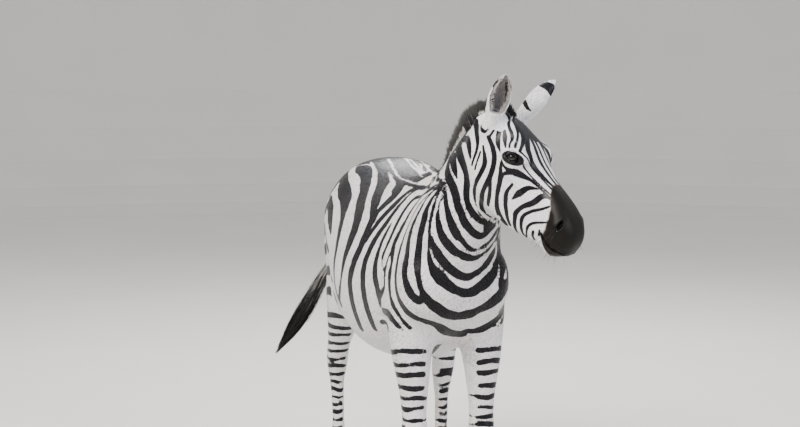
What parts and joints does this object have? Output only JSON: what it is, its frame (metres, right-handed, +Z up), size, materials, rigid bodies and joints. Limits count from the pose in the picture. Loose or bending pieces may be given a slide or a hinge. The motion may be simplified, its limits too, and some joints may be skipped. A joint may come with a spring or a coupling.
{
  "type": "zebra",
  "caption": "Standing life-size plains zebra with its head turned to its left, ears up, upright striped mane and a dark tail tuft.",
  "frame": {"origin": "on the floor, under the middle of the animal's box", "axes": "+X forward along the trunk, +Y the animal's left, +Z up"},
  "size_m": [1.7632, 0.6825, 1.6349],
  "materials": {
    "coat": "short smooth fur, black stripes on white",
    "mane_hair": "stiff upright hair, striped, dark at the tips",
    "tail_hair": "long coarse black hair",
    "hoof_horn": "dark horn, dull",
    "eye": "wet dark brown"
  },
  "bodies": {
    "root": {"trunk": "coat", "neck": "coat", "head": "coat", "mane": "mane_hair", "ear_left": "coat", "ear_right": "coat", "eye_left": "eye", "eye_right": "eye", "foreleg_left": "coat", "foreleg_right": "coat", "forecannon_left": "coat", "forecannon_right": "coat", "forehoof_left": "hoof_horn", "forehoof_right": "hoof_horn", "hindleg_left": "coat", "hindleg_right": "coat", "hindcannon_left": "coat", "hindcannon_right": "coat", "hindhoof_left": "hoof_horn", "hindhoof_right": "hoof_horn", "tail_dock": "coat", "tail_tuft": "tail_hair"}
  },
  "joints": []
}
